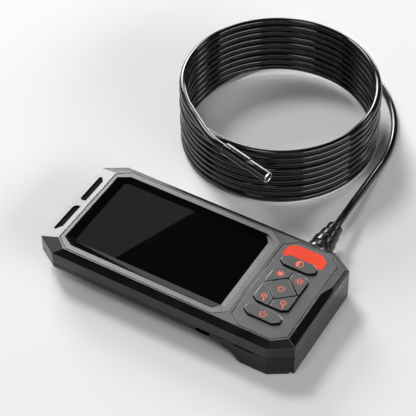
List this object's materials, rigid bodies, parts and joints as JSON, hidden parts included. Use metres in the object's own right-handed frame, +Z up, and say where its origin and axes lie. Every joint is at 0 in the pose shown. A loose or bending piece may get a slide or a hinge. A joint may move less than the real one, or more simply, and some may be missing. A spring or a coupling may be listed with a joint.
{
  "type": "inspection camera",
  "caption": "Handheld inspection camera: octagonal slab with a long screen and raised keys, battery hump under one end, coiled probe cable with a small camera head",
  "frame": {"origin": "centre of the screen unit's outline, on the surface it stands on", "axes": "+Z up through the screen; +X from the screen end to the keypad end; +Y towards the cable side"},
  "size_m": [0.165, 0.2552, 0.0484],
  "materials": {
    "shell": "fine-textured black ABS",
    "plate_grey": "satin dark grey",
    "bezel_grey": "satin mid grey",
    "orange_print": "flat orange-red print film",
    "trim_black": "gloss black",
    "screen_glass": "dark polished cover glass",
    "lcd": "dark display module",
    "flex": "amber polyimide",
    "silicone": "translucent grey silicone",
    "spring_steel": "nickel-plated",
    "circuit_board": "green solder mask",
    "tin": "tin-plated",
    "plug_white": "natural nylon",
    "cable_black": "glossy black PVC",
    "zinc": "black zinc",
    "cell_wrap": "blue shrink wrap",
    "boot_black": "satin black PVC",
    "probe_black": "black anodised",
    "ring_chrome": "polished",
    "clear_window": "clear",
    "led_lens": "white LED",
    "key_grey": "satin charcoal"
  },
  "bodies": {
    "root": {"bottom_shell": "shell", "top_shell": "shell", "face_plate": "plate_grey", "screen_bezel": "bezel_grey", "screen_surround": "trim_black", "keypad_panel": "plate_grey", "label_plate": "orange_print", "key_end_trim": "trim_black", "end_inlays": "trim_black", "cover_glass": "screen_glass", "lcd_panel": "lcd", "lcd_flex": "flex", "keypad_mat": "silicone", "snap_domes": "spring_steel", "key_board": "circuit_board", "main_board": "circuit_board", "shield_can": "tin", "usb_socket": "tin", "card_socket": "tin", "camera_plug": "plug_white", "core_lead": "cable_black", "board_screws": "zinc", "shell_screws": "zinc", "battery_cell": "cell_wrap", "battery_contacts": "spring_steel", "battery_cradle": "shell", "strain_relief": "boot_black", "cable_lead": "cable_black", "cable_coil": "cable_black", "cable_tail": "cable_black", "probe_sleeve": "probe_black", "camera_head": "probe_black", "face_ring": "ring_chrome", "front_window": "clear_window", "led_board": "trim_black", "probe_leds": "led_lens", "lens_barrel": "probe_black", "front_lens": "clear_window", "image_sensor": "circuit_board"},
    "key_light": {"key_light": "key_grey"},
    "key_brighter": {"key_brighter": "key_grey"},
    "key_dimmer": {"key_dimmer": "key_grey"},
    "key_rotate": {"key_rotate": "key_grey"},
    "key_zoom_in": {"key_zoom_in": "key_grey"},
    "key_zoom_out": {"key_zoom_out": "key_grey"},
    "key_power": {"key_power": "key_grey"}
  },
  "joints": [
    {"name": "key_light_press", "type": "slide", "parent": "root", "child": "key_light", "axis": [0, 0, -1], "range_m": [0, 0.0005], "stiffness_N_per_m": 600, "springref_m": -0.0005},
    {"name": "key_brighter_press", "type": "slide", "parent": "root", "child": "key_brighter", "axis": [0, 0, -1], "range_m": [0, 0.0005], "stiffness_N_per_m": 600, "springref_m": -0.0005},
    {"name": "key_dimmer_press", "type": "slide", "parent": "root", "child": "key_dimmer", "axis": [0, 0, -1], "range_m": [0, 0.0005], "stiffness_N_per_m": 600, "springref_m": -0.0005},
    {"name": "key_rotate_press", "type": "slide", "parent": "root", "child": "key_rotate", "axis": [0, 0, -1], "range_m": [0, 0.0005], "stiffness_N_per_m": 600, "springref_m": -0.0005},
    {"name": "key_zoom_in_press", "type": "slide", "parent": "root", "child": "key_zoom_in", "axis": [0, 0, -1], "range_m": [0, 0.0005], "stiffness_N_per_m": 600, "springref_m": -0.0005},
    {"name": "key_zoom_out_press", "type": "slide", "parent": "root", "child": "key_zoom_out", "axis": [0, 0, -1], "range_m": [0, 0.0005], "stiffness_N_per_m": 600, "springref_m": -0.0005},
    {"name": "key_power_press", "type": "slide", "parent": "root", "child": "key_power", "axis": [0, 0, -1], "range_m": [0, 0.0005], "stiffness_N_per_m": 600, "springref_m": -0.0005}
  ]
}
